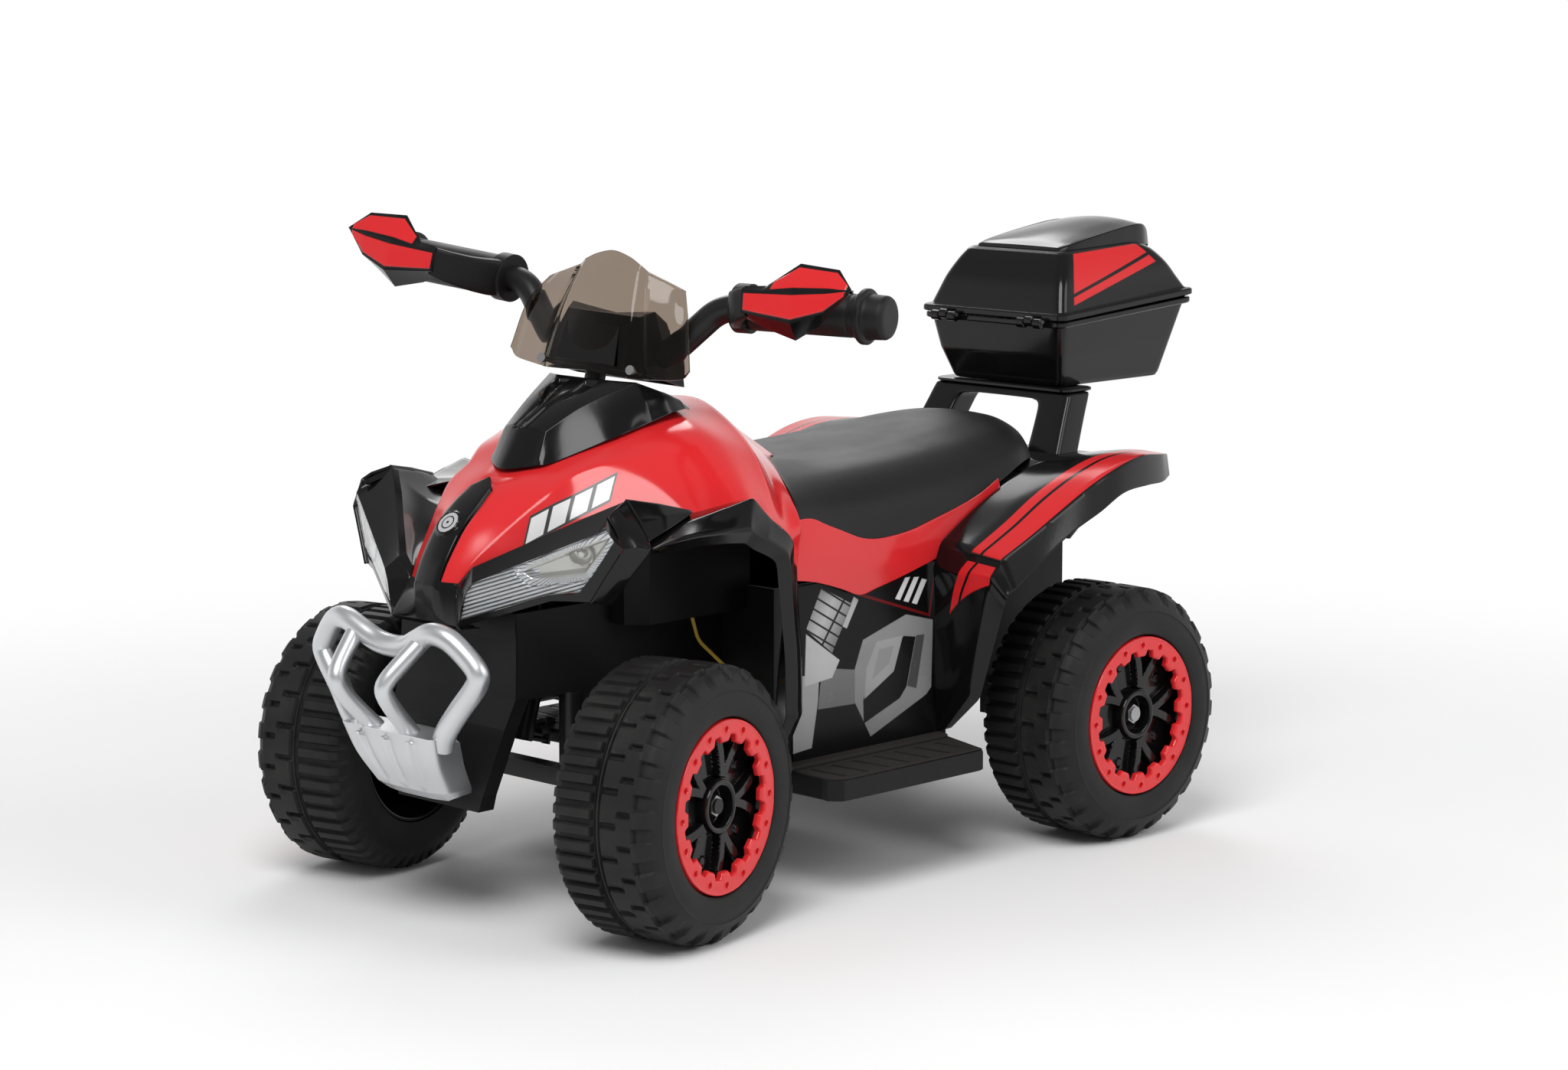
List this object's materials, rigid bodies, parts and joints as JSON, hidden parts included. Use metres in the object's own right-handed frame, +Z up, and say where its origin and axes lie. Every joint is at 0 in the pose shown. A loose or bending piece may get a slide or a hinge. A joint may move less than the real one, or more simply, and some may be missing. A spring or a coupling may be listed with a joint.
{
  "type": "kids_quad_bike",
  "caption": "Battery ride-on quad bike for a small child: red and black body, fat tyres, handlebar with guards and smoked screen, lidded top case on a rear rack.",
  "frame": {"origin": "on the floor under the middle of the overall box", "axes": "front of the bike towards -Y, the rider's left is +X, +Z up; the steering stands turned 12.4 degrees to the left at rest"},
  "size_m": [0.4094, 0.7551, 0.4473],
  "materials": {
    "red_gloss": "glossy moulded red",
    "black_gloss": "glossy moulded black",
    "black_matte": "grained moulded black",
    "seat_cover": "grained moulded seat",
    "tyre_black": "matte moulded tread",
    "silver_paint": "silver metallic paint",
    "bare_steel": "plain drawn steel",
    "bright_plate": "bright plated",
    "lens_clear": "clear ribbed lens",
    "screen_smoke": "smoked brown, see-through",
    "gear_nylon": "natural nylon",
    "grip_rubber": "ribbed soft grip",
    "lead_yellow": "insulated lead",
    "cell_grey": "battery case",
    "button_red": "moulded button"
  },
  "bodies": {
    "chassis": {"chassis_hull": "black_matte", "upper_shell": "red_gloss", "front_cowl": "black_gloss", "tank_cover": "black_gloss", "nose_strip": "black_gloss", "seat": "seat_cover", "rear_fender": "black_gloss", "rear_rack": "black_gloss", "top_case_base": "black_gloss", "footrest_left": "black_matte", "footrest_right": "black_matte", "front_bumper": "silver_paint", "headlamp_lenses": "lens_clear", "headlamp_reflectors": "bright_plate", "lamp_wire": "lead_yellow", "battery": "cell_grey", "motor": "bare_steel", "gearbox_case": "black_matte", "rear_axle": "bare_steel", "rear_axle_nuts": "bright_plate", "front_axle_beam": "bare_steel", "kingpins": "bare_steel", "column_bush": "gear_nylon", "charge_socket": "black_matte", "body_screws": "bright_plate", "lid_hinge_pins": "bare_steel"},
    "steering": {"steering_column": "bare_steel", "handlebar": "black_matte", "grips": "grip_rubber", "handguards": "black_gloss", "dash_housing": "black_matte", "windscreen": "screen_smoke", "windscreen_screws": "bright_plate"},
    "horn": {"horn_button": "button_red"},
    "music": {"music_button": "button_red"},
    "hub_left": {"knuckle_left": "bare_steel", "axle_nut_front_left": "bright_plate"},
    "hub_right": {"knuckle_right": "bare_steel", "axle_nut_front_right": "bright_plate"},
    "track_rod": {"tie_rod": "bare_steel"},
    "pedal": {"accelerator_pedal": "black_matte"},
    "power_rocker": {"power_switch": "button_red"},
    "direction_rocker": {"direction_switch": "black_gloss"},
    "case_lid": {"top_case_lid": "black_gloss"},
    "latch": {"case_latch": "black_gloss"},
    "motor_gear": {"motor_pinion": "bare_steel"},
    "middle_gear": {"reduction_gear": "gear_nylon"},
    "wheel_front_left": {"tyre_front_left": "tyre_black", "rim_front_left": "black_gloss", "ring_front_left": "red_gloss"},
    "wheel_front_right": {"tyre_front_right": "tyre_black", "rim_front_right": "black_gloss", "ring_front_right": "red_gloss"},
    "wheel_rear_left": {"tyre_rear_left": "tyre_black", "rim_rear_left": "black_gloss", "ring_rear_left": "red_gloss"},
    "wheel_rear_right": {"tyre_rear_right": "tyre_black", "rim_rear_right": "black_gloss", "ring_rear_right": "red_gloss", "drive_gear": "gear_nylon"}
  },
  "joints": [
    {"name": "steer", "type": "hinge", "parent": "chassis", "child": "steering", "pos_m": [0, -0.2444, 0.112], "axis": [0, 0.2773, 0.9608], "range_deg": [-30.4, 5.6]},
    {"name": "knuckle_left_turn", "type": "hinge", "parent": "chassis", "child": "hub_left", "pos_m": [0.1478, -0.2479, 0.09], "axis": [0, 0, 1], "range_deg": [-30.4, 5.6]},
    {"name": "knuckle_right_turn", "type": "hinge", "parent": "chassis", "child": "hub_right", "pos_m": [-0.1478, -0.2479, 0.09], "axis": [0, 0, 1], "range_deg": [-30.4, 5.6]},
    {"name": "track_rod_turn", "type": "hinge", "parent": "hub_left", "child": "track_rod", "pos_m": [0.14179, -0.22055, 0.112], "axis": [0, 0, 1], "range_deg": [-5.6, 30.4]},
    {"name": "wheel_front_left_spin", "type": "hinge", "parent": "hub_left", "child": "wheel_front_left", "pos_m": [0.18687, -0.23931, 0.09], "axis": [0.9767, 0.2147, 0], "continuous": true},
    {"name": "wheel_front_right_spin", "type": "hinge", "parent": "hub_right", "child": "wheel_front_right", "pos_m": [-0.18687, -0.25649, 0.09], "axis": [0.9767, 0.2147, 0], "continuous": true},
    {"name": "wheel_rear_left_spin", "type": "hinge", "parent": "chassis", "child": "wheel_rear_left", "pos_m": [0.1878, 0.1719, 0.09], "axis": [1, 0, 0], "continuous": true},
    {"name": "wheel_rear_right_spin", "type": "hinge", "parent": "chassis", "child": "wheel_rear_right", "pos_m": [-0.1878, 0.1719, 0.09], "axis": [1, 0, 0], "continuous": true},
    {"name": "middle_gear_spin", "type": "hinge", "parent": "chassis", "child": "middle_gear", "pos_m": [-0.092, 0.14072, 0.108], "axis": [1, 0, 0], "continuous": true},
    {"name": "motor_gear_spin", "type": "hinge", "parent": "chassis", "child": "motor_gear", "pos_m": [-0.09, 0.11118, 0.11321], "axis": [1, 0, 0], "continuous": true},
    {"name": "lid_hinge", "type": "hinge", "parent": "chassis", "child": "case_lid", "pos_m": [0, 0.2155, 0.3565], "axis": [1, 0, 0], "range_deg": [0, 80]},
    {"name": "latch_hinge", "type": "hinge", "parent": "chassis", "child": "latch", "pos_m": [0, 0.3775, 0.364], "axis": [-1, 0, 0], "range_deg": [0, 75]},
    {"name": "pedal_press", "type": "hinge", "parent": "chassis", "child": "pedal", "pos_m": [-0.136, -0.052, 0.089], "axis": [1, 0, 0], "range_deg": [0, 7], "stiffness_Nm_per_rad": 1.2, "springref_deg": -171.89},
    {"name": "power_rock", "type": "hinge", "parent": "chassis", "child": "power_rocker", "pos_m": [-0.1055, 0.01, 0.13], "axis": [0, 1, 0], "range_deg": [-8, 8]},
    {"name": "direction_rock", "type": "hinge", "parent": "chassis", "child": "direction_rocker", "pos_m": [-0.1055, -0.016, 0.13], "axis": [0, 1, 0], "range_deg": [-8, 8]},
    {"name": "horn_press", "type": "slide", "parent": "steering", "child": "horn", "axis": [0.0443, -0.4648, -0.8843], "range_m": [0, 0.002], "stiffness_N_per_m": 250, "springref_m": -0.0005},
    {"name": "music_press", "type": "slide", "parent": "steering", "child": "music", "axis": [0.0443, -0.4648, -0.8843], "range_m": [0, 0.002], "stiffness_N_per_m": 250, "springref_m": -0.0005}
  ],
  "couplings": [
    {"joint": "knuckle_left_turn", "follows": "steer", "ratio": 1},
    {"joint": "knuckle_right_turn", "follows": "steer", "ratio": 1},
    {"joint": "track_rod_turn", "follows": "steer", "ratio": -1},
    {"joint": "middle_gear_spin", "follows": "wheel_rear_right_spin", "ratio": -3},
    {"joint": "motor_gear_spin", "follows": "wheel_rear_right_spin", "ratio": 12}
  ]
}
